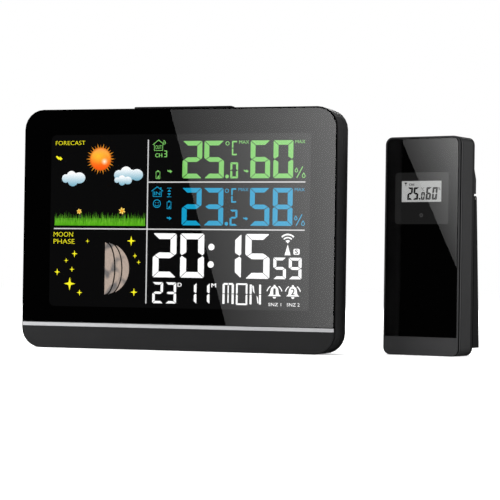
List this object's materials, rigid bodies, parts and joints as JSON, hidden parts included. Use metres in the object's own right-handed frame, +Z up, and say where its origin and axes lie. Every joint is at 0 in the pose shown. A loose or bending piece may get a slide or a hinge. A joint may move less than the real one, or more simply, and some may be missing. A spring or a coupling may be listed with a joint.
{
  "type": "home weather station",
  "caption": "Wide glossy display console with a silver strip, fold-out stand and snooze bar, beside a tall wireless outdoor sensor with a small grey display.",
  "frame": {"origin": "middle of the face that the console stands on, level with the surface under both units", "axes": "+X to the console user's right along its width, +Y from its display to its back, +Z up"},
  "size_m": [0.2446, 0.0584, 0.1312],
  "materials": {
    "gloss_lens": "polished clear acrylic, printed black from behind",
    "case_black": "fine matte moulded ABS",
    "sensor_grey": "fine matte moulded ABS",
    "trim_silver": "satin silver strip",
    "steel": "nickel plated",
    "copper_wire": "enamelled copper wire",
    "lcd_colour": "negative liquid crystal panel, black field",
    "lcd_grey": "grey reflective liquid crystal panel",
    "acrylic": "milky acrylic light guide",
    "sensor_part": "white moulded sensor body",
    "board_green": "solder resist",
    "rubber_black": "soft elastomer",
    "part_black": "moulded nylon",
    "cell_wrap": "plain printed sleeve",
    "ferrite": "sintered ferrite"
  },
  "bodies": {
    "console": {"alarm_buzzer": "part_black", "button_board": "board_green", "case_screw_1": "steel", "case_screw_2": "steel", "case_screw_3": "steel", "case_screw_4": "steel", "cell_1": "cell_wrap", "cell_2": "cell_wrap", "cell_3": "cell_wrap", "cell_contact_left": "steel", "cell_contact_right": "steel", "cell_spring_1": "steel", "cell_spring_2": "steel", "cell_spring_3": "steel", "climate_probe": "sensor_part", "clock_antenna_coil": "copper_wire", "clock_antenna_rod": "ferrite", "console_front_case": "case_black", "console_lcd_panel": "lcd_colour", "console_lens": "gloss_lens", "console_light_guide": "acrylic", "console_main_board": "board_green", "console_rear_cover": "case_black", "console_trim_strip": "trim_silver", "dc_jack": "part_black", "kickstand_pin": "steel", "lcd_connector_strip": "rubber_black", "radio_receiver": "board_green", "snooze_switch": "part_black"},
    "snooze_bar": {"snooze_bar": "case_black"},
    "set_button": {"set_button": "case_black"},
    "up_button": {"up_button": "case_black"},
    "down_button": {"down_button": "case_black"},
    "alarm_button": {"alarm_button": "case_black"},
    "channel_button": {"channel_button": "case_black"},
    "kickstand": {"kickstand": "case_black"},
    "console_battery_door": {"console_battery_door": "case_black"},
    "sensor": {"sensor_front_shell": "sensor_grey", "sensor_lens": "gloss_lens", "sensor_lcd_panel": "lcd_grey", "sensor_light_pipe": "acrylic", "sensor_board": "board_green", "sensor_antenna": "copper_wire", "sensor_climate_probe": "sensor_part", "sensor_rear_shell": "sensor_grey", "sensor_screw_1": "steel", "sensor_screw_2": "steel", "sensor_contact_bottom": "steel", "sensor_contact_top": "steel", "sensor_spring_1": "steel", "sensor_cell_1": "cell_wrap", "sensor_spring_2": "steel", "sensor_cell_2": "cell_wrap", "sensor_stand_pin": "steel"},
    "sensor_stand": {"sensor_stand": "sensor_grey"},
    "sensor_battery_door": {"sensor_battery_door": "sensor_grey"},
    "channel_switch": {"channel_switch": "part_black"},
    "transmit_button": {"transmit_button": "part_black"}
  },
  "joints": [
    {"name": "snooze_press", "type": "slide", "parent": "console", "child": "snooze_bar", "axis": [0, 0, -1], "range_m": [0, 0.0012], "stiffness_N_per_m": 600, "springref_m": -0.0003},
    {"name": "set_press", "type": "slide", "parent": "console", "child": "set_button", "axis": [0, -1, 0], "range_m": [0, 0.001], "stiffness_N_per_m": 600, "springref_m": -0.0003},
    {"name": "up_press", "type": "slide", "parent": "console", "child": "up_button", "axis": [0, -1, 0], "range_m": [0, 0.001], "stiffness_N_per_m": 600, "springref_m": -0.0003},
    {"name": "down_press", "type": "slide", "parent": "console", "child": "down_button", "axis": [0, -1, 0], "range_m": [0, 0.001], "stiffness_N_per_m": 600, "springref_m": -0.0003},
    {"name": "alarm_press", "type": "slide", "parent": "console", "child": "alarm_button", "axis": [0, -1, 0], "range_m": [0, 0.001], "stiffness_N_per_m": 600, "springref_m": -0.0003},
    {"name": "channel_press", "type": "slide", "parent": "console", "child": "channel_button", "axis": [0, -1, 0], "range_m": [0, 0.001], "stiffness_N_per_m": 600, "springref_m": -0.0003},
    {"name": "kickstand_swing", "type": "hinge", "parent": "console", "child": "kickstand", "pos_m": [0, 0.0093, 0.053], "axis": [1, 0, 0], "range_deg": [0, 35]},
    {"name": "console_door_swing", "type": "hinge", "parent": "console", "child": "console_battery_door", "pos_m": [0.052, 0.01095, 0.0147], "axis": [-1, 0, 0], "range_deg": [0, 100]},
    {"name": "sensor_lift", "type": "slide", "parent": "console", "child": "sensor", "axis": [0, 0, 1], "range_m": [0, 0.15]},
    {"name": "sensor_stand_swing", "type": "hinge", "parent": "sensor", "child": "sensor_stand", "pos_m": [0.13278, 0.03591, 0.0835], "axis": [0.9699, -0.2436, 0], "range_deg": [0, 50]},
    {"name": "sensor_door_slide", "type": "slide", "parent": "sensor", "child": "sensor_battery_door", "axis": [0, 0, -1], "range_m": [0, 0.005]},
    {"name": "channel_switch_slide", "type": "slide", "parent": "sensor", "child": "channel_switch", "axis": [0.9699, -0.2436, 0], "range_m": [-0.0022, 0.0022]},
    {"name": "transmit_press", "type": "slide", "parent": "sensor", "child": "transmit_button", "axis": [-0.2436, -0.9699, 0], "range_m": [0, 0.0008], "stiffness_N_per_m": 500, "springref_m": -0.0003}
  ]
}
